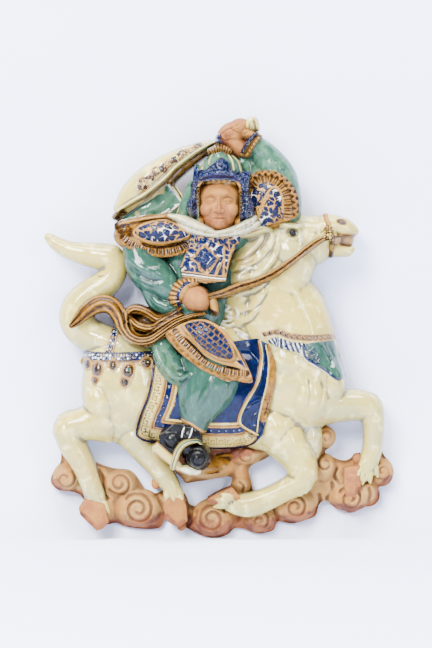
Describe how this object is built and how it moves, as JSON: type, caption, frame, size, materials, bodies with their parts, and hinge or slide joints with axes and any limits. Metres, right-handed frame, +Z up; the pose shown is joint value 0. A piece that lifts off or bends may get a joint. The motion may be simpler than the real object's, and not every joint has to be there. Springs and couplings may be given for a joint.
{
  "type": "roof ridge figure",
  "caption": "Flat-backed glazed stoneware relief of an armoured rider on a galloping horse over scrolling clouds, made to be fixed on a wall or roof ridge",
  "frame": {"origin": "a point on the flat back, behind the rider's hip, near the middle of the figure", "axes": "+Z up as it hangs, the flat back faces +Y, the modelled front faces -Y, and the horse gallops towards +X"},
  "size_m": [0.3007, 0.066, 0.3576],
  "materials": {
    "cream_glaze": "gloss cream glaze, greener where it pools"
  },
  "bodies": {
    "root": {"mounted_warrior_plaque": "cream_glaze"}
  },
  "joints": []
}
